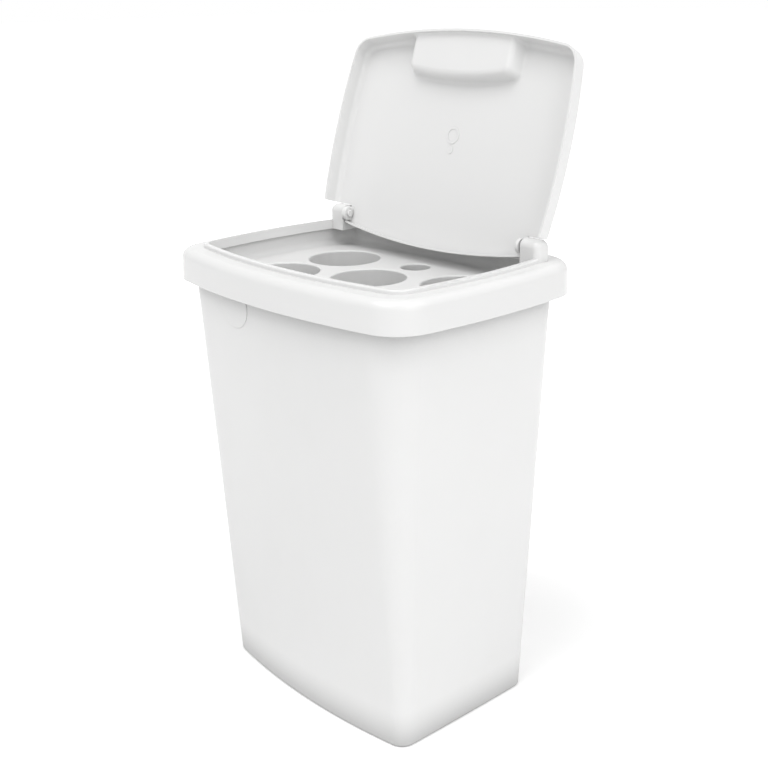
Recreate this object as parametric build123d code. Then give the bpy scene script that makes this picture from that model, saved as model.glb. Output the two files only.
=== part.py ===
from build123d import *
from math import atan2, degrees, hypot, radians, sin, sqrt
import os

# Tub, in millimetres: half sizes are taken at the middle of each bowed side
TUB_HEIGHT = 495.6
TUB_TOP_HALF_X = 178.0
TUB_TOP_HALF_Y = 135.7
TUB_TOP_CORNER = 49.0
TUB_BASE_HALF_X = 149.4
TUB_BASE_HALF_Y = 108.6
TUB_BASE_CORNER = 17.0
TUB_FRONT_BOW = 13.9
TUB_TOP_SIDE_BOW = 12.6
TUB_BASE_SIDE_BOW = 1.0
TUB_WALL = 2.6
TUB_FLOOR = 3.0
TUB_BASE_ROUND = 3.0
TUB_FLOOR_ROUND = 6.0
LIP_WIDTH = 2.5
LIP_THICKNESS = 3.0

# Stacking pad on the tub's front wall, below the skirt
PAD_X = -66.0
PAD_BELOW_TOP = 38.0
PAD_RADIUS = 26.0
PAD_RISE = 0.9
PAD_ROUND = 0.8

# Skirt of the rim frame
SKIRT_OVERHANG_X = 15.0
SKIRT_OVERHANG_Y = 11.6
SKIRT_HALF_X = TUB_TOP_HALF_X + SKIRT_OVERHANG_X
SKIRT_HALF_Y = TUB_TOP_HALF_Y + SKIRT_OVERHANG_Y
SKIRT_CORNER = 45.7
SKIRT_FRONT_BOW = 22.4
SKIRT_SIDE_BOW = 12.1
SKIRT_HEIGHT = 33.3
SKIRT_DRAFT = 1.6
SKIRT_WALL = 2.5
SKIRT_ROUND = 10.0
SKIRT_INNER_ROUND = 3.0
SKIRT_HEM_ROUND = 1.0

# Mouth of the rim frame, the raised bead round it and the flange that hangs below it
SHELF_WIDTH_X = 28.1
SHELF_WIDTH_Y = 28.4
MOUTH_HALF_X = SKIRT_HALF_X - SHELF_WIDTH_X
MOUTH_HALF_Y = SKIRT_HALF_Y - SHELF_WIDTH_Y
MOUTH_CORNER = 14.6
MOUTH_FRONT_BOW = 19.8
MOUTH_SIDE_BOW = 11.9
BEAD_WIDTH = 5.0
BEAD_RISE = 4.2
BEAD_ROUND = 1.6
FLANGE_WALL = 2.4
FLANGE_DROP = 6.7

# Hinge axis, and the blocks on the rim frame that carry it
HINGE_AHEAD_OF_MOUTH = 29.4
HINGE_Y = MOUTH_HALF_Y - HINGE_AHEAD_OF_MOUTH
HINGE_ABOVE_SHELF = 13.7
BLOCK_WIDTH = 23.8
BLOCK_INSET = 0.3
BLOCK_OUTER_X = MOUTH_HALF_X - BLOCK_INSET
BLOCK_INNER_X = BLOCK_OUTER_X - BLOCK_WIDTH
BLOCK_AHEAD_OF_HINGE = 6.0
BLOCK_FRONT_ROUND = 8.0
BLOCK_REAR_ROUND = 10.0
BLOCK_SIDE_ROUND = 7.0
BLOCK_CREST_MARGIN = 1.5

# Insert tray that hangs in the tub's mouth, and the layout of its holes
TRAY_GAP = 2.6
TRAY_WALL = 2.4
TRAY_FLANGE = 2.6
TRAY_FLANGE_REACH = 0.5
TRAY_DEPTH = 23.9
TRAY_PLATE = 2.4
TRAY_ROUND = 8.0
CUP_HOLE_RADIUS = 41.0
CUP_PITCH_X = 92.5
CUP_PITCH_Y = 45.0
STIRRER_HOLE_RADIUS = 16.6
STIRRER_Y = 69.5
HOLE_ROUND = 1.8
COLLAR_DROP = 23.0
COLLAR_WALL = 1.6

# Tubes below the holes, and the base that they stand on
TUBE_WALL = 1.6
BASE_PLATE = 3.0
BASE_FOOT_HEIGHT = 7.0
BASE_FOOT_RADIUS = 6.0
BASE_EDGE_GAP = 3.0
SPIGOT_HEIGHT = 9.0
DRAIN_RADIUS = 4.0
DRAIN_RING_RADIUS = 24.0
DRAINS_PER_RING = 6

# Lid, drawn closed and then swung open about the hinge axis
OPEN_ANGLE = 107.2
LID_OVERHANG = 9.0
LID_CORNER = 23.1
LID_FRONT_BOW = 17.0
LID_SIDE_BOW = 11.6
LID_WALL = 2.5
LID_FLANGE_DEPTH = 17.8
LID_DRAFT = 3.2
LID_CROWN_RADIUS = 4200.0
LID_TOP_ROUND = 6.5
LID_INNER_ROUND = 7.0
TONGUE_SIDE_GAP = 1.3
TONGUE_HALF_X = BLOCK_INNER_X - TONGUE_SIDE_GAP
TONGUE_REAR_REACH = 22.8
TONGUE_REAR_BOW = 11.8
NOTCH_AHEAD_OF_HINGE = 10.9
REAR_RIB_WALL = 2.0
REAR_RIB_DEPTH = 4.5
GATE_RING_Y = -16.0
GATE_RING_RADIUS = 9.5
GATE_RING_WIDTH = 2.5
GATE_NUB_Y = 0.0
GATE_NUB_RADIUS = 4.5
GATE_RISE = 0.6

# Finger pocket sunk in the lid's front edge
POCKET_DEPTH = 12.9
POCKET_HALF_X = 74.0
POCKET_SIDE_SPREAD = 10.0
POCKET_LENGTH = 49.4
POCKET_REAR_Y = POCKET_LENGTH - MOUTH_HALF_Y - LID_OVERHANG
POCKET_REAR_BOW = 6.5
POCKET_REAR_SPREAD = 5.0
POCKET_CORNER = 10.0
POCKET_FLOOR_ROUND = 8.0
POCKET_ROOT_ROUND = 4.0

# Hinge ears on the lid, and the pins pressed through them
EAR_RADIUS = 8.2
EAR_WIDTH = 5.0
EAR_ROUND = 2.0
PIN_RADIUS = 3.0
PIN_REACH = 13.0
PIN_END_ROUND = 0.8
PIN_HEAD_RADIUS = 4.0
PIN_HEAD_WIDTH = 2.0
PIN_RUNNING_CLEARANCE = 0.05

# Clearances between pieces
SEAT_GAP = 0.3
TUBE_FIT = 0.2
STOP_GAP = 0.4
CUT_MARGIN = 5.0

# Levels worked out from the sizes above
TRAY_FLANGE_TOP = TUB_HEIGHT + SEAT_GAP + TRAY_FLANGE
SHELF_UNDERSIDE = TRAY_FLANGE_TOP + SEAT_GAP
SHELF_TOP = SHELF_UNDERSIDE + SKIRT_WALL
SKIRT_BOTTOM = SHELF_TOP - SKIRT_HEIGHT
BEAD_TOP = SHELF_TOP + BEAD_RISE
FLANGE_BOTTOM = SHELF_TOP - FLANGE_DROP
PLATE_TOP = TRAY_FLANGE_TOP - TRAY_DEPTH
PLATE_UNDERSIDE = PLATE_TOP - TRAY_PLATE
COLLAR_BOTTOM = PLATE_UNDERSIDE - COLLAR_DROP
HINGE_Z = SHELF_TOP + HINGE_ABOVE_SHELF
LID_EDGE_Z = SHELF_TOP + SEAT_GAP
LID_INNER_Z = LID_EDGE_Z + LID_FLANGE_DEPTH
LID_TOP_Z = LID_INNER_Z + LID_WALL
LID_CROWN_RISE = LID_CROWN_RADIUS - sqrt(LID_CROWN_RADIUS**2 - (MOUTH_HALF_X + LID_OVERHANG) ** 2)
NOTCH_Y = HINGE_Y - NOTCH_AHEAD_OF_HINGE
BASE_PLATE_BOTTOM = TUB_FLOOR + SEAT_GAP + BASE_FOOT_HEIGHT
BASE_PLATE_TOP = BASE_PLATE_BOTTOM + BASE_PLATE
HINGE_AXIS = Axis((0, HINGE_Y, HINGE_Z), (1, 0, 0))

CUP_PLACES = {
    "centre": (0, 0),
    "front_left": (-CUP_PITCH_X, -CUP_PITCH_Y),
    "front_right": (CUP_PITCH_X, -CUP_PITCH_Y),
    "back_left": (-CUP_PITCH_X, CUP_PITCH_Y),
    "back_right": (CUP_PITCH_X, CUP_PITCH_Y),
}


def bowed_outline(half_x, half_y, corner, front_bow, side_bow, grow=0.0):
    """Face with four bowed sides and round corners, grown outwards by grow."""
    front_radius = (half_x**2 + front_bow**2) / (2 * front_bow)
    side_radius = (half_y**2 + side_bow**2) / (2 * side_bow)
    front_centre = Vector(0, half_y - front_radius)
    side_centre = Vector(half_x - side_radius, 0)
    to_front = front_centre - side_centre
    spread = to_front.length
    side_reach = side_radius - corner
    front_reach = front_radius - corner
    along = (spread**2 + side_reach**2 - front_reach**2) / (2 * spread)
    across = sqrt(side_reach**2 - along**2)
    unit = to_front / spread
    corner_centre = side_centre + unit * along + Vector(-unit.Y, unit.X) * across
    from_front = (corner_centre - front_centre).normalized()
    from_side = (corner_centre - side_centre).normalized()
    half_way = (from_front + from_side).normalized()
    on_front = corner_centre + from_front * (corner + grow)
    on_side = corner_centre + from_side * (corner + grow)
    on_corner = corner_centre + half_way * (corner + grow)
    reach_x = half_x + grow
    reach_y = half_y + grow

    def place(point, turn_x, turn_y):
        return (point.X * turn_x, point.Y * turn_y)

    edges = [
        ThreePointArc(place(on_front, -1, 1), (0, reach_y), place(on_front, 1, 1)),
        ThreePointArc(place(on_front, 1, 1), place(on_corner, 1, 1), place(on_side, 1, 1)),
        ThreePointArc(place(on_side, 1, 1), (reach_x, 0), place(on_side, 1, -1)),
        ThreePointArc(place(on_side, 1, -1), place(on_corner, 1, -1), place(on_front, 1, -1)),
        ThreePointArc(place(on_front, 1, -1), (0, -reach_y), place(on_front, -1, -1)),
        ThreePointArc(place(on_front, -1, -1), place(on_corner, -1, -1), place(on_side, -1, -1)),
        ThreePointArc(place(on_side, -1, -1), (-reach_x, 0), place(on_side, -1, 1)),
        ThreePointArc(place(on_side, -1, 1), place(on_corner, -1, 1), place(on_front, -1, 1)),
    ]
    return make_face(Curve() + edges)


def mouth_outline(grow=0.0):
    """Outline of the rim frame's mouth, grown outwards by grow."""
    return bowed_outline(MOUTH_HALF_X, MOUTH_HALF_Y, MOUTH_CORNER, MOUTH_FRONT_BOW, MOUTH_SIDE_BOW, grow)


def skirt_outline(grow=0.0):
    """Outline of the skirt at its hem, grown outwards by grow."""
    return bowed_outline(SKIRT_HALF_X, SKIRT_HALF_Y, SKIRT_CORNER, SKIRT_FRONT_BOW, SKIRT_SIDE_BOW, grow)


def lid_outline(grow=0.0):
    """Outline of the lid's free edge, grown outwards by grow."""
    half_x = MOUTH_HALF_X + LID_OVERHANG
    half_y = MOUTH_HALF_Y + LID_OVERHANG
    return bowed_outline(half_x, half_y, LID_CORNER, LID_FRONT_BOW, LID_SIDE_BOW, grow)


def tub_outline(height, grow=0.0):
    """Outline of the tub's outer wall at a height above the ground, grown outwards by grow."""
    share = height / TUB_HEIGHT

    def between(base, top):
        return base + (top - base) * share

    return bowed_outline(
        between(TUB_BASE_HALF_X, TUB_TOP_HALF_X),
        between(TUB_BASE_HALF_Y, TUB_TOP_HALF_Y),
        between(TUB_BASE_CORNER, TUB_TOP_CORNER),
        TUB_FRONT_BOW,
        between(TUB_BASE_SIDE_BOW, TUB_TOP_SIDE_BOW),
        grow,
    )


def raise_to(face, level):
    """Place a flat outline at a level."""
    return Pos(0, 0, level) * face


def prism(face, bottom, top):
    """Straight block of an outline between two levels."""
    return extrude(raise_to(face, bottom), amount=top - bottom)


def cylinder_between(radius, bottom, top, x=0.0, y=0.0):
    """Upright round bar between two levels."""
    return Pos(x, y, bottom) * extrude(Circle(radius), amount=top - bottom)


def bar_along_x(radius, start, end):
    """Round bar on the hinge axis from one x to another."""
    return Pos(start, HINGE_Y, HINGE_Z) * extrude(Plane.YZ * Circle(radius), amount=end - start)


def edges_at(shape, level, reach=0.05):
    """Edges that lie flat at a level."""
    return shape.edges().filter_by(lambda e: abs(e.bounding_box().min.Z - level) < reach
                                   and abs(e.bounding_box().max.Z - level) < reach)


def tub_block(bottom, top, grow=0.0):
    """Tapered block of the tub's outer wall between two levels, grown outwards by grow."""
    return loft([raise_to(tub_outline(bottom, grow), bottom), raise_to(tub_outline(top, grow), top)], ruled=True)


def make_stacking_pad():
    """Shallow round pad on the front wall, with its core, which the tub's hollow cuts away."""
    disc = Plane.XZ * Pos(PAD_X, TUB_HEIGHT - PAD_BELOW_TOP) * Circle(PAD_RADIUS)
    pad = extrude(disc, amount=TUB_TOP_HALF_Y + CUT_MARGIN)
    pad = pad & tub_block(TUB_HEIGHT / 2, TUB_HEIGHT, PAD_RISE)
    return fillet(pad.faces().sort_by(Axis.Y)[0].edges(), PAD_ROUND)


def make_tub():
    """Tapered tub with bowed walls, a flat floor and an outward lip that the tray hangs on."""
    shell = tub_block(0, TUB_HEIGHT)
    shell = fillet(edges_at(shell, 0), TUB_BASE_ROUND)
    lip = prism(tub_outline(TUB_HEIGHT, LIP_WIDTH), TUB_HEIGHT - LIP_THICKNESS, TUB_HEIGHT)
    inner_floor = raise_to(tub_outline(TUB_FLOOR, -TUB_WALL), TUB_FLOOR)
    inner_top = raise_to(tub_outline(TUB_HEIGHT, -TUB_WALL), TUB_HEIGHT)
    hollow = loft([inner_floor, inner_top], ruled=True)
    hollow = fillet(edges_at(hollow, TUB_FLOOR), TUB_FLOOR_ROUND)
    return shell + lip + make_stacking_pad() - hollow


def make_hinge_block():
    """Round-topped block for the pin at +X, without its bore."""
    inner_edge = hypot(NOTCH_AHEAD_OF_HINGE, LID_INNER_Z - HINGE_Z)
    inner_angle = 180 - degrees(atan2(LID_INNER_Z - HINGE_Z, NOTCH_AHEAD_OF_HINGE))
    rise = inner_edge * sin(radians(inner_angle - OPEN_ANGLE)) - SEAT_GAP
    flat_end = sqrt((inner_edge - STOP_GAP) ** 2 - rise**2) - BLOCK_CREST_MARGIN
    front = HINGE_Y - BLOCK_AHEAD_OF_HINGE
    rear = HINGE_Y + flat_end + BLOCK_REAR_ROUND
    top = HINGE_Z + rise
    profile = Pos((front + rear) / 2, (FLANGE_BOTTOM + top) / 2) * Rectangle(rear - front, top - FLANGE_BOTTOM)
    corners = profile.vertices().group_by(Axis.Y)[-1].sort_by(Axis.X)
    profile = fillet(corners[0], BLOCK_FRONT_ROUND)
    corners = profile.vertices().group_by(Axis.X)[-1].sort_by(Axis.Y)
    profile = fillet(corners[-1], BLOCK_REAR_ROUND)
    block = Pos(BLOCK_INNER_X, 0, 0) * extrude(Plane.YZ * profile, amount=BLOCK_WIDTH)
    outer_loop = block.faces().sort_by(Axis.X)[-1].edges()
    block = fillet(outer_loop.sort_by(Axis.Z)[1:], BLOCK_SIDE_ROUND)
    above = prism(skirt_outline(), SHELF_UNDERSIDE, top + CUT_MARGIN)
    within = prism(mouth_outline(FLANGE_WALL), FLANGE_BOTTOM, SHELF_UNDERSIDE)
    return block & (above + within)


def make_rim_frame():
    """Skirted frame with the mouth, its bead and hanging flange, and the two hinge blocks."""
    skirt = loft([raise_to(skirt_outline(), SKIRT_BOTTOM), raise_to(skirt_outline(-SKIRT_DRAFT), SHELF_TOP)],
                 ruled=True)
    skirt = fillet(edges_at(skirt, SHELF_TOP), SKIRT_ROUND)
    skirt = fillet(edges_at(skirt, SKIRT_BOTTOM), SKIRT_HEM_ROUND)
    cavity_top = raise_to(skirt_outline(-SKIRT_DRAFT - SKIRT_WALL), SHELF_UNDERSIDE)
    cavity = loft([raise_to(skirt_outline(-SKIRT_WALL), SKIRT_BOTTOM), cavity_top], ruled=True)
    cavity = fillet(edges_at(cavity, SHELF_UNDERSIDE), SKIRT_INNER_ROUND)
    bead = prism(mouth_outline(BEAD_WIDTH), SHELF_UNDERSIDE, BEAD_TOP)
    bead = fillet(edges_at(bead, BEAD_TOP), BEAD_ROUND)
    flange = prism(mouth_outline(FLANGE_WALL), FLANGE_BOTTOM, SHELF_TOP)
    mouth = prism(mouth_outline(), FLANGE_BOTTOM - CUT_MARGIN, BEAD_TOP + CUT_MARGIN)
    frame = skirt - cavity + flange + bead - mouth
    block = make_hinge_block()
    bore_radius = PIN_RADIUS + PIN_RUNNING_CLEARANCE
    bore = bar_along_x(bore_radius, BLOCK_INNER_X - CUT_MARGIN, TONGUE_HALF_X + PIN_REACH + SEAT_GAP)
    block = block - bore
    return frame + block + mirror(block, about=Plane.YZ)


def make_insert_tray():
    """Tray that hangs by its flange, with a collared hole for each tube."""
    wall_inside = FLANGE_WALL + TRAY_GAP
    wall_outside = wall_inside + TRAY_WALL
    body = prism(mouth_outline(wall_outside), PLATE_UNDERSIDE, TRAY_FLANGE_TOP)
    body = fillet(edges_at(body, PLATE_UNDERSIDE), TRAY_ROUND + TRAY_WALL)
    flange = prism(tub_outline(TUB_HEIGHT, TRAY_FLANGE_REACH), TRAY_FLANGE_TOP - TRAY_FLANGE, TRAY_FLANGE_TOP)
    hollow = prism(mouth_outline(wall_inside), PLATE_TOP, TRAY_FLANGE_TOP)
    hollow = fillet(edges_at(hollow, PLATE_TOP), TRAY_ROUND)
    tray = body + flange - hollow
    holes = [(CUP_HOLE_RADIUS, place) for place in CUP_PLACES.values()]
    holes.append((STIRRER_HOLE_RADIUS, (0, STIRRER_Y)))
    for radius, (x, y) in holes:
        tray += cylinder_between(radius + COLLAR_WALL, COLLAR_BOTTOM, PLATE_TOP, x, y)
    for radius, (x, y) in holes:
        tray -= cylinder_between(radius, COLLAR_BOTTOM, PLATE_TOP, x, y)
    mouths = edges_at(tray, PLATE_TOP).filter_by(GeomType.CIRCLE)
    mouths = mouths.filter_by(lambda e: e.radius <= CUP_HOLE_RADIUS and e.is_closed)
    return fillet(mouths, HOLE_ROUND)


def make_tube(hole_radius, x, y):
    """Straight tube that hangs round a collar and stands round a spigot of the base."""
    bore = hole_radius + COLLAR_WALL + TUBE_FIT
    bottom = BASE_PLATE_TOP
    top = PLATE_UNDERSIDE - SEAT_GAP
    return cylinder_between(bore + TUBE_WALL, bottom, top, x, y) - cylinder_between(bore, bottom, top, x, y)


def make_tube_base():
    """Pierced plate on feet, with a spigot inside each tube."""
    plate = prism(tub_outline(BASE_PLATE_BOTTOM, -TUB_WALL - BASE_EDGE_GAP), BASE_PLATE_BOTTOM, BASE_PLATE_TOP)
    places = [(CUP_HOLE_RADIUS, place) for place in CUP_PLACES.values()]
    places.append((STIRRER_HOLE_RADIUS, (0, STIRRER_Y)))
    for radius, (x, y) in places:
        spigot = radius + COLLAR_WALL
        plate += cylinder_between(spigot, BASE_PLATE_TOP, BASE_PLATE_TOP + SPIGOT_HEIGHT, x, y)
        plate -= cylinder_between(spigot - COLLAR_WALL, BASE_PLATE_TOP, BASE_PLATE_TOP + SPIGOT_HEIGHT, x, y)
        plate -= cylinder_between(DRAIN_RADIUS, BASE_PLATE_BOTTOM, BASE_PLATE_TOP, x, y)
    for x, y in CUP_PLACES.values():
        for drain in PolarLocations(DRAIN_RING_RADIUS, DRAINS_PER_RING):
            hole = drain.position
            plate -= cylinder_between(DRAIN_RADIUS, BASE_PLATE_BOTTOM, BASE_PLATE_TOP, x + hole.X, y + hole.Y)
    for x, y in CUP_PLACES.values():
        foot_y = y + CUP_PITCH_Y / 2 if y > 0 else y - CUP_PITCH_Y / 2 if y < 0 else DRAIN_RING_RADIUS / 2
        plate += cylinder_between(BASE_FOOT_RADIUS, TUB_FLOOR + SEAT_GAP, BASE_PLATE_BOTTOM, x, foot_y)
    return plate


def crown_ball(level):
    """Large ball whose highest point is over the middle of the lid and whose skin meets the rim at level."""
    return Pos(0, 0, level + LID_CROWN_RISE - LID_CROWN_RADIUS) * Sphere(LID_CROWN_RADIUS)


def tongue_region(grow=0.0):
    """Flat region that the lid keeps: all ahead of the notches, and the bowed tongue between them."""
    half_x = TONGUE_HALF_X + grow
    middle_y = HINGE_Y + TONGUE_REAR_REACH + grow
    side_y = middle_y - TONGUE_REAR_BOW
    far = MOUTH_HALF_Y + LID_OVERHANG + CUT_MARGIN
    wide = MOUTH_HALF_X + LID_OVERHANG + CUT_MARGIN
    ahead = Pos(0, (NOTCH_Y - far) / 2) * Rectangle(2 * wide, far + NOTCH_Y)
    sides = [
        Line((half_x, side_y), (half_x, 0)),
        Line((half_x, 0), (-half_x, 0)),
        Line((-half_x, 0), (-half_x, side_y)),
        ThreePointArc((-half_x, side_y), (0, middle_y), (half_x, side_y)),
    ]
    return ahead + make_face(Curve() + sides)


def pocket_outline(level_share, grow=0.0):
    """Outline of the finger pocket between its floor, share 0, and the lid's plate, share 1."""
    half_x = POCKET_HALF_X + POCKET_SIDE_SPREAD * level_share + grow
    middle_y = POCKET_REAR_Y + POCKET_REAR_SPREAD * level_share + grow
    side_y = middle_y - POCKET_REAR_BOW
    front_y = -(MOUTH_HALF_Y + LID_OVERHANG + CUT_MARGIN)
    sides = [
        Line((half_x, side_y), (half_x, front_y)),
        Line((half_x, front_y), (-half_x, front_y)),
        Line((-half_x, front_y), (-half_x, side_y)),
        ThreePointArc((-half_x, side_y), (0, middle_y), (half_x, side_y)),
    ]
    return make_face(Curve() + sides)


def pocket_block(bottom, top, floor_round, grow=0.0):
    """Flared block of the finger pocket with its rear corners and the edges of its floor rounded."""
    block = loft([raise_to(pocket_outline(0, grow), bottom), raise_to(pocket_outline(1, grow), top)], ruled=True)
    upright = block.edges().filter_by(lambda e: e.bounding_box().size.Z > (top - bottom) / 2)
    block = fillet(upright.group_by(Axis.Y)[-1], POCKET_CORNER + grow)
    return fillet(edges_at(block, bottom), floor_round)


def pocket_root(lid):
    """Edges where the pocket's side and rear walls meet the underside of the plate."""
    side = POCKET_HALF_X + POCKET_SIDE_SPREAD
    edges = lid.edges().filter_by_position(Axis.X, -side, side)
    edges = edges.filter_by_position(Axis.Y, LID_INNER_ROUND - MOUTH_HALF_Y, POCKET_REAR_Y + POCKET_REAR_SPREAD)
    return edges.filter_by_position(Axis.Z, LID_INNER_Z, LID_INNER_Z + LID_CROWN_RISE)


def make_ear():
    """Round hinge ear at +X that hangs from the tongue's side edge."""
    height = LID_INNER_Z + LID_WALL / 2 - HINGE_Z
    web = Pos(0, height / 2) * Rectangle(2 * EAR_RADIUS, height)
    below = Pos(0, -EAR_RADIUS / 2) * Rectangle(2 * EAR_RADIUS, EAR_RADIUS)
    profile = (Circle(EAR_RADIUS) & below) + web
    ear = Pos(TONGUE_HALF_X - EAR_WIDTH, HINGE_Y, HINGE_Z) * extrude(Plane.YZ * profile, amount=EAR_WIDTH)
    inner_loop = ear.faces().sort_by(Axis.X)[0].edges()
    return fillet(inner_loop.sort_by(Axis.Z)[:-1], EAR_ROUND)


def make_gate_mark():
    """Raised ring and nub that the moulding gate leaves on the underside of the lid."""
    low = LID_INNER_Z
    high = LID_INNER_Z + LID_CROWN_RISE + LID_WALL / 2
    ring = cylinder_between(GATE_RING_RADIUS, low, high, 0, GATE_RING_Y)
    ring -= cylinder_between(GATE_RING_RADIUS - GATE_RING_WIDTH, low, high, 0, GATE_RING_Y)
    marks = ring + cylinder_between(GATE_NUB_RADIUS, low, high, 0, GATE_NUB_Y)
    return marks - crown_ball(LID_INNER_Z - GATE_RISE)


def make_closed_lid():
    """Crowned lid with its flange, finger pocket, tongue, rear rib and hinge ears, drawn shut."""
    high = LID_TOP_Z + LID_CROWN_RISE + CUT_MARGIN
    draft = LID_DRAFT * (high - LID_EDGE_Z) / (LID_TOP_Z - LID_EDGE_Z)
    outside = loft([raise_to(lid_outline(), LID_EDGE_Z), raise_to(lid_outline(-draft), high)], ruled=True)
    outside = outside & crown_ball(LID_TOP_Z)
    outside = fillet(outside.faces().sort_by(Axis.Z)[-1].edges(), LID_TOP_ROUND)
    within = loft([raise_to(lid_outline(-LID_WALL), LID_EDGE_Z), raise_to(lid_outline(-LID_WALL - draft), high)],
                  ruled=True)
    core = within & crown_ball(LID_INNER_Z)
    core = fillet(core.faces().sort_by(Axis.Z)[-1].edges(), LID_INNER_ROUND)
    shell = outside - core
    kept = prism(tongue_region(), LID_EDGE_Z - CUT_MARGIN, high)
    shell = shell & kept
    rib_band = tongue_region() - tongue_region(-REAR_RIB_WALL)
    behind = Pos(0, HINGE_Y + TONGUE_REAR_REACH) * Rectangle(2 * TONGUE_HALF_X, 2 * TONGUE_REAR_REACH)
    rib = prism(rib_band & behind, LID_INNER_Z - REAR_RIB_DEPTH, high) & core
    pocket_floor = LID_INNER_Z - POCKET_DEPTH
    pocket = pocket_block(pocket_floor, LID_INNER_Z + LID_CROWN_RISE, POCKET_FLOOR_ROUND) & outside
    lid = shell + rib + pocket
    lid = fillet(pocket_root(lid), POCKET_ROOT_ROUND) + make_gate_mark()
    sink = pocket_block(pocket_floor + LID_WALL, high, POCKET_FLOOR_ROUND - LID_WALL, -LID_WALL) & within
    lid = lid - sink
    ear = make_ear()
    bore = bar_along_x(PIN_RADIUS, TONGUE_HALF_X - 2 * EAR_WIDTH, TONGUE_HALF_X + CUT_MARGIN)
    return lid + ear + mirror(ear, about=Plane.YZ) - bore - mirror(bore, about=Plane.YZ)


def make_hinge_pin():
    """Headed pin at +X that is pressed through the ear and turns in the block."""
    head_start = TONGUE_HALF_X - EAR_WIDTH - PIN_HEAD_WIDTH
    shank = bar_along_x(PIN_RADIUS, head_start, TONGUE_HALF_X + PIN_REACH)
    shank = chamfer(shank.edges().sort_by(Axis.X)[-1], PIN_END_ROUND)
    head = bar_along_x(PIN_HEAD_RADIUS, head_start, head_start + PIN_HEAD_WIDTH)
    head = fillet(head.edges().sort_by(Axis.X)[0], PIN_END_ROUND)
    return shank + head


def swing_open(shape):
    """Turn a closed lid piece to the open rest place."""
    return shape.rotate(HINGE_AXIS, -OPEN_ANGLE)


def save(shape, name):
    """Write one piece to its own file."""
    shape.label = name
    export_step(shape, f"parts/{name}.step")


def main():
    os.makedirs("parts", exist_ok=True)
    save(make_tub(), "tub")
    save(make_rim_frame(), "rim_frame")
    save(make_insert_tray(), "insert_tray")
    for place, (x, y) in CUP_PLACES.items():
        save(make_tube(CUP_HOLE_RADIUS, x, y), f"cup_tube_{place}")
    save(make_tube(STIRRER_HOLE_RADIUS, 0, STIRRER_Y), "stirrer_tube")
    save(make_tube_base(), "tube_base")
    save(swing_open(make_closed_lid()), "lid")
    pin = make_hinge_pin()
    save(swing_open(pin), "hinge_pin_right")
    save(swing_open(mirror(pin, about=Plane.YZ)), "hinge_pin_left")


main()
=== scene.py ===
import bpy
from math import atan2, cos, radians, sin
from mathutils import Matrix, Vector

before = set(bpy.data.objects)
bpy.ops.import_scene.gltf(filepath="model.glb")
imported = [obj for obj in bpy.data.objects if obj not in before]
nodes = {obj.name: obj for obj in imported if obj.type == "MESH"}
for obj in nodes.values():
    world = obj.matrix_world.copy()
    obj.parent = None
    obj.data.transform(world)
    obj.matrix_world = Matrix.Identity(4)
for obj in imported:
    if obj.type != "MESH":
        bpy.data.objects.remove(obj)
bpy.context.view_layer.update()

# Camera, placed by the photograph's outlines: angles in degrees, lengths in metres, the sensor in
# millimetres, the focal length and the two shifts in the picture's pixels
IMAGE_WIDTH = 768
SENSOR_WIDTH = 36.0
FOCAL_PIXELS = 1190.08
CAMERA_AZIMUTH = 48.80
CAMERA_ELEVATION = 22.31
CAMERA_ROLL = 1.21
CAMERA_DISTANCE = 1.3518
CAMERA_TARGET = Vector((0.0, 0.0, 0.2574))
CAMERA_SHIFT_RIGHT = -13.2
CAMERA_SHIFT_UP = 80.2

# How light each moulding is, from 0 to 1
TUB_WHITE = 0.86
RIM_WHITE = 0.83
LID_WHITE = 0.87
INSERT_WHITE = 0.77
TUBE_WHITE = 0.72
PIN_WHITE = 0.86

# How rough each moulding is where it is clean, and how strongly the plastic bends light
TUB_ROUGHNESS = 0.36
RIM_ROUGHNESS = 0.18
LID_ROUGHNESS = 0.30
INSERT_ROUGHNESS = 0.34
TUBE_ROUGHNESS = 0.38
PIN_ROUGHNESS = 0.30
PLASTIC_IOR = 1.49

# Size of the plastic's surface features in metres, or how many of them there are to a metre
SINK_SIZE = 0.11
BROAD_SINK_SIZE = 0.16
RIPPLE_SIZE = 0.018
GRAIN_SIZE = 0.00045
SMEAR_SIZE = 0.025
SMEAR_PATCH_SIZE = SMEAR_SIZE / 0.3
DUST_SIZE = 0.03
EDGE_REACH = 0.0012
EDGE_BREAKS_PER_METRE = 260.0
# Painted shade: how far around a point the corner shade looks for other surfaces
PAINTED_SHADE_REACH = 0.045
CLOUDS_PER_METRE = 9.0

# Smears and rubbed edges: the small third number draws the smears out upright, each begins to show at
# its faint value and is whole at its full one, and wear is how strong the rubbed edges are
SMEAR_STRETCH = (1.0, 1.0, 0.4)
SMEAR_FAINT = 0.18
SMEAR_FULL = 0.50
EDGE_FAINT = 0.06
EDGE_FULL = 0.30
EDGE_WEAR = 0.6

# Samples at each point for the rubbed edges and for the painted shade in corners
EDGE_SAMPLES = 4
PAINTED_SHADE_SAMPLES = 8

# What each effect adds to the roughness, and to the soiling of the colour; a rubbed edge is cleaner
MARKS_ROUGHEN = 0.16
EDGES_ROUGHEN = 0.12
DUST_ROUGHENS = 0.35
CLOUDS_SOIL = 0.35
MARKS_SOIL = 0.25
DUST_SOILS = 0.6
EDGES_SOIL = -0.3

# Blue of the clean plastic, grey and blue of the soiled plastic, each as a part of its white, then the
# grey of the painted shade in deep corners and its blue as a part of it
CLEAN_BLUE = 0.997
SOILED_GREY = 0.955
SOILED_BLUE = 0.945
PAINTED_SHADE_GREY = 0.12
PAINTED_SHADE_BLUE = 0.98

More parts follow.
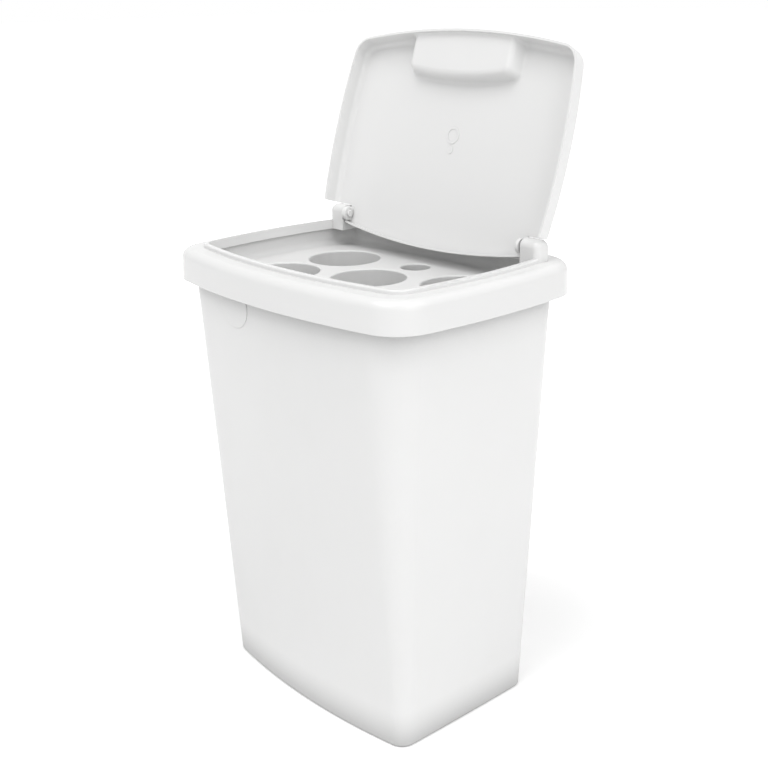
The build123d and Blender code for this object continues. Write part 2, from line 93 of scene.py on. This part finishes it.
# Floor and backdrop: the glow is weakest nearer the middle than the first distance, where the shadow
# falls, and strongest past the second. Sizes and distances are in metres
WHITE = (1.0, 1.0, 1.0, 1.0)
FLOOR_SIZE = 60.0
FLOOR_WHITE = 0.90
FLOOR_ROUGHNESS = 0.9
SHADOW_NEAR = 0.20
SHADOW_FAR = 0.80
GLOW_NEAR = 0.30
GLOW_FAR = 0.70
WORLD_LIGHT = 0.43

# Where the lamps aim, how far off they stand and how wide they are, in metres
BIN_MIDDLE = Vector((0.0, 0.0, 0.3))
LAMP_DISTANCE = 6.0
LAMP_SIZE = 4.0
SPARKLE_SIZE = 0.4

# Lamps: name, direction from the bin, width in metres and power in watts. Two broad ones stand
# overhead, one is low on the right, and two small ones are for the glints on the rim
LAMPS = (
    ("overhead_front", (-0.05, -0.42, 0.9), LAMP_SIZE, 171.0),
    ("overhead_right", (0.6, 0.1, 0.8), LAMP_SIZE, 89.0),
    ("low_right", (0.95, -0.2, 0.25), LAMP_SIZE, 63.0),
    ("sparkle_left", (0.1, -0.75, 0.6), SPARKLE_SIZE, 7.0),
    ("sparkle_right", (0.85, -0.3, 0.6), SPARKLE_SIZE, 7.0),
)


def add_node(tree, kind, **settings):
    """New node with its settings."""
    node = tree.nodes.new(kind)
    for key, value in settings.items():
        setattr(node, key, value)
    return node


def new_group(name, inputs, output):
    """Shader group with float inputs given as name: default and one float output, and its two ends."""
    group = bpy.data.node_groups.new(name, "ShaderNodeTree")
    for label, default in inputs.items():
        socket = group.interface.new_socket(label, in_out="INPUT", socket_type="NodeSocketFloat")
        socket.default_value = default
    group.interface.new_socket(output, in_out="OUTPUT", socket_type="NodeSocketFloat")
    source = add_node(group, "NodeGroupInput")
    result = add_node(group, "NodeGroupOutput")
    return group, source, result


def place_group(tree, group, **values):
    """A group placed in a material with its own values; underscores in names stand for spaces."""
    node = add_node(tree, "ShaderNodeGroup", node_tree=group)
    for key, value in values.items():
        node.inputs[key.replace("_", " ")].default_value = value
    return node


def set_input(tree, value, socket):
    """Give an input socket a plain number, or link another node's output to it."""
    if isinstance(value, (int, float)):
        socket.default_value = value
    else:
        tree.links.new(value, socket)


def maths(tree, operation, first, second):
    """Maths node on sockets or numbers, as its output socket."""
    node = add_node(tree, "ShaderNodeMath", operation=operation)
    set_input(tree, first, node.inputs[0])
    set_input(tree, second, node.inputs[1])
    return node.outputs[0]


def add_masks(tree, start, weights):
    """A start value with the mask of each listed node added by its weight."""
    total = start
    for node, weight in weights:
        total = maths(tree, "ADD", total, maths(tree, "MULTIPLY", node.outputs["Mask"], weight))
    return total


def noise(tree, vector, scale, detail, roughness=0.5):
    """Noise node on a vector socket, as its value socket. scale may be a socket."""
    node = add_node(tree, "ShaderNodeTexNoise")
    tree.links.new(vector, node.inputs["Vector"])
    set_input(tree, scale, node.inputs["Scale"])
    node.inputs["Detail"].default_value = detail
    node.inputs["Roughness"].default_value = roughness
    return node.outputs["Fac"]


def smooth_ramp(tree, value, start, end, low=0.0, high=1.0):
    """A value eased from low at start to high at end, as its output socket."""
    node = add_node(tree, "ShaderNodeMapRange", interpolation_type="SMOOTHSTEP")
    node.inputs["From Min"].default_value = start
    node.inputs["From Max"].default_value = end
    node.inputs["To Min"].default_value = low
    node.inputs["To Max"].default_value = high
    tree.links.new(value, node.inputs["Value"])
    return node.outputs["Result"]


def blend(tree, mask, first, second):
    """Colour mixed from the first to the second by a mask; the first is a colour or a socket."""
    node = add_node(tree, "ShaderNodeMix", data_type="RGBA")
    if isinstance(first, tuple):
        node.inputs["A"].default_value = first
    else:
        tree.links.new(first, node.inputs["A"])
    node.inputs["B"].default_value = second
    tree.links.new(mask, node.inputs["Factor"])
    return node.outputs["Result"]


def object_place(tree):
    """The point's place in the piece's own frame, in metres."""
    return add_node(tree, "ShaderNodeTexCoord").outputs["Object"]


def near_grey(level, blue):
    """Colour with red and green at one level and blue at its own."""
    return (level, level, blue, 1.0)


def make_moulded_surface():
    """Height of a moulded skin in metres: broad sinks, the flow's ripple and the tool's fine grain."""
    inputs = {"Sink Size": SINK_SIZE, "Sink Depth": 0.0002, "Ripple Depth": 0.00002, "Grain Depth": 0.000004}
    group, source, result = new_group("moulded_surface", inputs, "Height")
    place = object_place(group)
    sink_scale = maths(group, "DIVIDE", 1.0, source.outputs["Sink Size"])
    sink = noise(group, place, sink_scale, detail=1.0)
    sink = maths(group, "MULTIPLY", sink, source.outputs["Sink Depth"])
    ripple = noise(group, place, 1.0 / RIPPLE_SIZE, detail=2.0)
    ripple = maths(group, "MULTIPLY", ripple, source.outputs["Ripple Depth"])
    grain = noise(group, place, 1.0 / GRAIN_SIZE, detail=3.0, roughness=0.6)
    grain = maths(group, "MULTIPLY", grain, source.outputs["Grain Depth"])
    height = maths(group, "ADD", maths(group, "ADD", sink, ripple), grain)
    group.links.new(height, result.inputs["Height"])
    return group


def make_handling_marks():
    """Mask of faint smears that hands leave, drawn out upright, 0 clean to 1 marked."""
    group, source, result = new_group("handling_marks", {"Amount": 0.5}, "Mask")
    stretch = add_node(group, "ShaderNodeMapping")
    stretch.inputs["Scale"].default_value = SMEAR_STRETCH
    group.links.new(object_place(group), stretch.inputs["Vector"])
    smears = noise(group, stretch.outputs["Vector"], 1.0 / SMEAR_SIZE, detail=3.0)
    patches = noise(group, object_place(group), 1.0 / SMEAR_PATCH_SIZE, detail=2.0)
    smears = smooth_ramp(group, maths(group, "MULTIPLY", smears, patches), SMEAR_FAINT, SMEAR_FULL)
    mask = maths(group, "MULTIPLY", smears, source.outputs["Amount"])
    group.links.new(mask, result.inputs["Mask"])
    return group


def make_worn_edge():
    """Mask of the arrises, 0 on the flat to 1 on the edge, broken up by noise."""
    group, source, result = new_group("worn_edge", {"Reach": EDGE_REACH, "Amount": 1.0}, "Mask")
    bevel = add_node(group, "ShaderNodeBevel", samples=EDGE_SAMPLES)
    group.links.new(source.outputs["Reach"], bevel.inputs["Radius"])
    geometry = add_node(group, "ShaderNodeNewGeometry")
    dot = add_node(group, "ShaderNodeVectorMath", operation="DOT_PRODUCT")
    group.links.new(bevel.outputs["Normal"], dot.inputs[0])
    group.links.new(geometry.outputs["Normal"], dot.inputs[1])
    turned = maths(group, "SUBTRACT", 1.0, dot.outputs["Value"])
    edge = smooth_ramp(group, turned, EDGE_FAINT, EDGE_FULL)
    broken = noise(group, object_place(group), EDGE_BREAKS_PER_METRE, detail=2.0)
    edge = maths(group, "MULTIPLY", edge, broken)
    mask = maths(group, "MULTIPLY", edge, source.outputs["Amount"])
    group.links.new(mask, result.inputs["Mask"])
    return group


def make_settled_dust():
    """Mask of fine dust on faces that look up, 0 clean to 1 dusty."""
    group, source, result = new_group("settled_dust", {"Amount": 0.3}, "Mask")
    geometry = add_node(group, "ShaderNodeNewGeometry")
    split = add_node(group, "ShaderNodeSeparateXYZ")
    group.links.new(geometry.outputs["Normal"], split.inputs["Vector"])
    upward = maths(group, "MAXIMUM", split.outputs["Z"], 0.0)
    cloud = noise(group, object_place(group), 1.0 / DUST_SIZE, detail=5.0, roughness=0.65)
    dust = maths(group, "MULTIPLY", upward, cloud)
    mask = maths(group, "MULTIPLY", dust, source.outputs["Amount"])
    group.links.new(mask, result.inputs["Mask"])
    return group


def make_painted_corner_shade():
    """Mask of painted shade in corners and gaps, 0 in the open to 1 where nothing reaches."""
    inputs = {"Reach": PAINTED_SHADE_REACH, "Amount": 0.5, "Depth": 1.0}
    group, source, result = new_group("painted_corner_shade", inputs, "Mask")
    closeness = add_node(group, "ShaderNodeAmbientOcclusion", samples=PAINTED_SHADE_SAMPLES)
    group.links.new(source.outputs["Reach"], closeness.inputs["Distance"])
    shut = maths(group, "SUBTRACT", 1.0, closeness.outputs["AO"])
    shut = maths(group, "POWER", shut, source.outputs["Depth"])
    mask = maths(group, "MULTIPLY", shut, source.outputs["Amount"])
    group.links.new(mask, result.inputs["Mask"])
    return group


def white_plastic(name, white, roughness, groups, surface, shade, marks=0.3, dust=0.2):
    """Moulded white plastic: moulded skin, handling marks, rubbed edges, dust and painted shade in corners.
    """
    material = bpy.data.materials.new(name)
    material.use_nodes = True
    tree = material.node_tree
    shader = tree.nodes["Principled BSDF"]
    shader.inputs["IOR"].default_value = PLASTIC_IOR

    skin = place_group(tree, groups["surface"], **surface)
    bump = add_node(tree, "ShaderNodeBump")
    bump.inputs["Strength"].default_value = 1.0
    bump.inputs["Distance"].default_value = 1.0
    tree.links.new(skin.outputs["Height"], bump.inputs["Height"])
    tree.links.new(bump.outputs["Normal"], shader.inputs["Normal"])

    rubbed = place_group(tree, groups["marks"], Amount=marks)
    edge = place_group(tree, groups["edge"], Amount=EDGE_WEAR)
    dusty = place_group(tree, groups["dust"], Amount=dust)
    weights = [(rubbed, MARKS_ROUGHEN), (edge, EDGES_ROUGHEN), (dusty, DUST_ROUGHENS)]
    tree.links.new(add_masks(tree, roughness, weights), shader.inputs["Roughness"])

    cloud = noise(tree, object_place(tree), CLOUDS_PER_METRE, detail=3.0)
    clouded = maths(tree, "MULTIPLY", cloud, CLOUDS_SOIL)
    weights = [(rubbed, MARKS_SOIL), (dusty, DUST_SOILS), (edge, EDGES_SOIL)]
    clamp = add_node(tree, "ShaderNodeClamp")
    tree.links.new(add_masks(tree, clouded, weights), clamp.inputs["Value"])
    clean_colour = near_grey(white, white * CLEAN_BLUE)
    soiled_colour = near_grey(white * SOILED_GREY, white * SOILED_BLUE)
    tint = blend(tree, clamp.outputs["Result"], clean_colour, soiled_colour)

    # Painted shade: the colour is mixed towards a dark grey where corners, gaps and holes are shut in
    close = place_group(tree, groups["shade"], **shade)
    painted_shade_colour = near_grey(PAINTED_SHADE_GREY, PAINTED_SHADE_GREY * PAINTED_SHADE_BLUE)
    shaded = blend(tree, close.outputs["Mask"], tint, painted_shade_colour)
    tree.links.new(shaded, shader.inputs["Base Color"])
    return material


def dress_cad_nodes():
    """Give each moulding of the bin its own plastic."""
    groups = {
        "surface": make_moulded_surface(),
        "marks": make_handling_marks(),
        "edge": make_worn_edge(),
        "dust": make_settled_dust(),
        "shade": make_painted_corner_shade(),
    }
    # Skins of the mouldings, with depths in metres
    calm = {"Sink_Depth": 0.0002, "Ripple_Depth": 0.00001, "Grain_Depth": 0.000003}
    broad = {"Sink_Size": BROAD_SINK_SIZE, "Sink_Depth": 0.0006, "Ripple_Depth": 0.000015,
             "Grain_Depth": 0.000005}
    drawn = {"Sink_Depth": 0.0001, "Ripple_Depth": 0.00002, "Grain_Depth": 0.000003}
    # Painted shade in corners: a greater depth keeps it to the places that are most shut in
    near = {"Amount": 0.95, "Depth": 1.15}
    gentle = {"Amount": 0.5, "Depth": 1.4}
    hollow = {"Amount": 0.85, "Depth": 4.0}
    tub = white_plastic("tub_polypropylene", TUB_WHITE, TUB_ROUGHNESS, groups, broad, near, marks=0.5)
    rim = white_plastic("rim_polypropylene", RIM_WHITE, RIM_ROUGHNESS, groups, calm, hollow, marks=0.15)
    lid = white_plastic("lid_polypropylene", LID_WHITE, LID_ROUGHNESS, groups, calm, gentle, marks=0.2)
    insert = white_plastic("insert_polypropylene", INSERT_WHITE, INSERT_ROUGHNESS, groups, calm, hollow,
                           dust=0.3)
    tube = white_plastic("tube_polypropylene", TUBE_WHITE, TUBE_ROUGHNESS, groups, drawn, hollow)
    pin = white_plastic("pin_plastic", PIN_WHITE, PIN_ROUGHNESS, groups, calm, gentle)
    plastics = {"tub": tub, "rim_frame": rim, "lid": lid, "insert_tray": insert, "tube_base": insert,
                "hinge_pin_left": pin, "hinge_pin_right": pin}
    for name, node in nodes.items():
        node.data.materials.clear()
        node.data.materials.append(plastics.get(name, tube))


def seen_directly(tree, strength):
    """strength where a ray comes from the camera, a gloss or a clear piece, and 0 elsewhere."""
    path = add_node(tree, "ShaderNodeLightPath")
    seen = maths(tree, "MAXIMUM", path.outputs["Is Camera Ray"], path.outputs["Is Glossy Ray"])
    seen = maths(tree, "MAXIMUM", seen, path.outputs["Is Transmission Ray"])
    return maths(tree, "MULTIPLY", seen, strength)


def make_floor():
    """Plain pale floor that shows white away from the bin and keeps its soft shadow."""
    bpy.ops.mesh.primitive_plane_add(size=FLOOR_SIZE, location=(0, 0, 0))
    floor = bpy.context.object
    floor.name = "studio_floor"
    material = bpy.data.materials.new("floor_white")
    material.use_nodes = True
    tree = material.node_tree
    shader = tree.nodes["Principled BSDF"]
    shader.inputs["Base Color"].default_value = near_grey(FLOOR_WHITE, FLOOR_WHITE)
    shader.inputs["Roughness"].default_value = FLOOR_ROUGHNESS
    shader.inputs["Emission Color"].default_value = WHITE
    away = add_node(tree, "ShaderNodeVectorMath", operation="LENGTH")
    tree.links.new(object_place(tree), away.inputs[0])
    glow = smooth_ramp(tree, away.outputs["Value"], SHADOW_NEAR, SHADOW_FAR, GLOW_NEAR, GLOW_FAR)
    strength = maths(tree, "MULTIPLY", seen_directly(tree, 1.0), glow)
    tree.links.new(strength, shader.inputs["Emission Strength"])
    floor.data.materials.append(material)


def make_world():
    """Even white light, with a white backdrop where it is seen directly."""
    world = bpy.data.worlds.new("studio_world")
    bpy.context.scene.world = world
    world.use_nodes = True
    tree = world.node_tree
    background = tree.nodes["Background"]
    background.inputs["Color"].default_value = WHITE
    strength = maths(tree, "ADD", seen_directly(tree, 1.0 - WORLD_LIGHT), WORLD_LIGHT)
    tree.links.new(strength, background.inputs["Strength"])


def add_softbox(name, way, size, power):
    """Square soft lamp far off in the given direction, aimed at the middle of the bin."""
    light = bpy.data.lights.new(name, "AREA")
    light.size = size
    light.energy = power
    lamp = bpy.data.objects.new(name, light)
    bpy.context.scene.collection.objects.link(lamp)
    away = Vector(way).normalized()
    lamp.location = BIN_MIDDLE + away * LAMP_DISTANCE
    lamp.rotation_euler = away.to_track_quat("Z", "Y").to_euler()


def make_lights():
    """Hang every lamp of the table."""
    for name, way, size, power in LAMPS:
        add_softbox(name, way, size, power)


def make_camera():
    """Camera that stands where the photograph was taken from."""
    turn = radians(CAMERA_AZIMUTH)
    lift = radians(CAMERA_ELEVATION)
    back = Vector((sin(turn) * cos(lift), -cos(turn) * cos(lift), sin(lift)))
    pan = atan2(-CAMERA_SHIFT_RIGHT, FOCAL_PIXELS)
    tilt = atan2(-CAMERA_SHIFT_UP, FOCAL_PIXELS)
    aimed = back.to_track_quat("Z", "Y").to_matrix()
    aimed = aimed @ Matrix.Rotation(-pan, 3, "Y") @ Matrix.Rotation(-tilt, 3, "X")
    aimed = aimed @ Matrix.Rotation(-radians(CAMERA_ROLL), 3, "Z")
    data = bpy.data.cameras.new("camera")
    data.sensor_width = SENSOR_WIDTH
    data.lens = SENSOR_WIDTH * FOCAL_PIXELS / IMAGE_WIDTH
    camera = bpy.data.objects.new("camera", data)
    bpy.context.scene.collection.objects.link(camera)
    camera.matrix_world = Matrix.Translation(CAMERA_TARGET + back * CAMERA_DISTANCE) @ aimed.to_4x4()
    bpy.context.scene.camera = camera


dress_cad_nodes()
make_floor()
make_world()
make_lights()
make_camera()
bpy.context.scene.view_settings.view_transform = "Standard"
